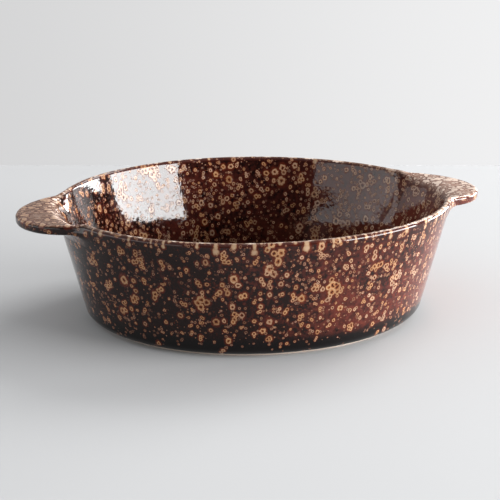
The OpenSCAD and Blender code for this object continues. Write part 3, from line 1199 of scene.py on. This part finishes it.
def panel(name, azimuth, half_angle, low, high, brightness):
    """An upright glowing panel at a compass angle from the bowl."""
    turn = math.radians(azimuth)
    width = 2 * PANEL_DISTANCE * math.tan(math.radians(half_angle))
    bottom, top = (PANEL_DISTANCE * math.tan(math.radians(angle)) for angle in (low, high))
    made = lamp(name, "RECTANGLE", width, top - bottom, 1, brightness)
    made.location = (PANEL_DISTANCE * math.cos(turn), PANEL_DISTANCE * math.sin(turn), (top + bottom) / 2)
    made.rotation_euler = (math.pi / 2, 0, turn + math.pi / 2)


def under_lamp():
    """A round lamp flat on the table inside the foot ring, which shows the underside to views from below."""
    width, height = 2 * (FOOT[1].x - UNDER_INSET), 2 * (FOOT[1].y - UNDER_INSET)
    made = lamp("under_lamp", "ELLIPSE", width, height, math.pi / 4, UNDER_BRIGHTNESS)
    made.location = (0, 0, UNDER_HEIGHT)
    made.rotation_euler = (math.pi, 0, 0)


def sheet(name, size, place, turn, rise, shader_of):
    """A flat stage piece that shows only its front."""
    mesh = bpy.data.meshes.new(name)
    bm = bmesh.new()
    bmesh.ops.create_grid(bm, x_segments=1, y_segments=1, size=0.5)
    bmesh.ops.scale(bm, vec=(*size, 1), verts=bm.verts)
    tilt = Matrix.Rotation(turn, 4, "Z") @ Matrix.Rotation(rise, 4, "X")
    bmesh.ops.transform(bm, matrix=tilt, verts=bm.verts)
    bmesh.ops.translate(bm, vec=place, verts=bm.verts)
    bm.to_mesh(mesh)
    bm.free()
    made = bpy.data.objects.new(name, mesh)
    scene.collection.objects.link(made)
    look, tree, shader = material(name)
    shader_of(tree, shader)
    through = tree.nodes.new("ShaderNodeMixShader")
    output = tree.nodes["Material Output"]
    tree.links.new(tree.nodes.new("ShaderNodeNewGeometry").outputs["Backfacing"], through.inputs["Fac"])
    tree.links.new(shader.outputs[0], through.inputs[1])
    tree.links.new(tree.nodes.new("ShaderNodeBsdfTransparent").outputs[0], through.inputs[2])
    tree.links.new(through.outputs[0], output.inputs["Surface"])
    mesh.materials.append(look)
    return made


def table_top(tree, shader):
    """A pale, matt table."""
    shader.inputs["Base Color"].default_value = TABLE
    shader.inputs["Roughness"].default_value = 0.7
    shader.inputs["Specular IOR Level"].default_value = 0.2


def pale_wall(tree, shader):
    """A wall that glows with painted light, brighter towards the window at its right."""
    shader.inputs["Base Color"].default_value = BLACK
    shader.inputs["Specular IOR Level"].default_value = 0
    share = band(tree, split(tree, object_place(tree))["X"], -0.25, 0.45)
    tree.links.new(mix(tree, share, WALL_LEFT, WALL_RIGHT), shader.inputs["Emission Color"])
    shader.inputs["Emission Strength"].default_value = 1


def room():
    """The room's light by direction: a pale ceiling, dimmer walls, and near darkness behind the camera."""
    world = bpy.data.worlds.new("room")
    scene.world = world
    world.use_nodes = True
    tree = world.node_tree
    way = tree.nodes.new("ShaderNodeTexCoord").outputs["Generated"]
    heading = math.radians(-90 + CAMERA_TURN)
    toward = along(tree, "DOT_PRODUCT", way, (math.cos(heading), math.sin(heading), 0))
    side = mix(tree, band(tree, toward, 0.1, 0.6), SIDE_WALLS, BEHIND_CAMERA)
    side = mix(tree, band(tree, toward, -0.3, -0.7), side, BEHIND_BOWL)
    whole = mix(tree, band(tree, split(tree, way)["Z"], 0.38, 0.62), side, CEILING)
    tree.links.new(whole, tree.nodes["Background"].inputs["Color"])


def surroundings():
    """The table, the wall behind it, the room's light and its lamps."""
    sheet("table", TABLE_SIZE, (0, 0, 0), 0, 0, table_top)
    back = math.radians(90 + CAMERA_TURN)
    place = (WALL_DISTANCE * math.cos(back), WALL_DISTANCE * math.sin(back), WALL_SIZE[1] / 2)
    wall = sheet("backdrop", WALL_SIZE, place, math.radians(CAMERA_TURN), math.pi / 2, pale_wall)
    # The wall only stands behind the bowl in the picture. The room's light takes its place in reflections
    wall.visible_shadow = False
    wall.visible_diffuse = False
    wall.visible_glossy = False
    room()
    for name, values in PANELS.items():
        panel(name, *values)
    under_lamp()


camera()
surroundings()

outer = outer_rows(0, corner=8, wall=62, handle=60, lip=8)
outer_back = outer_rows(SKIN, corner=3, wall=6, handle=16, lip=3)
outside = glaze_coat("outer_coat", outer + outer_back[::-1], False)
inner = inner_rows(0, lip=12, wall=56, cove=16, floor=40)
inner_back = inner_rows(SKIN, lip=4, wall=4, cove=5, floor=4)
inside = glaze_coat("inner_coat", inner + inner_back[::-1], True)

shared_groups = ring_spots(), glaze_body(), lip_glaze()
outside_glaze = glaze("outer glaze", shared_groups, redness=0.14, rightward=0.75, body_share=1.0,
                      ring_gain=0.66, foot_shade_share=1.0, relief=0.04 * MM)
inside_glaze = glaze("inner glaze", shared_groups, redness=0.5, rightward=0.5, body_share=0.7,
                     ring_gain=0.7, foot_shade_share=0, relief=0.1 * MM)
clay_look = bare_clay()
for piece, name, look in ((outside, "outer_glaze", outside_glaze), (inside, "inner_glaze", inside_glaze)):
    piece.data.materials.append(look)
    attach(piece, "root")
    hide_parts(name)
for name in ("wall", "left_handle", "right_handle"):
    piece = clay(name)
    piece.data.materials.clear()
    piece.data.materials.append(clay_look)
    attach(piece, "root")
    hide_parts(name)
ring = foot()
ring.data.materials.append(clay_look)
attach(ring, "root")
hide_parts("foot_ring")
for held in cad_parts["floor"].material_slots:
    held.material = clay_look

scene.view_settings.view_transform = "Standard"
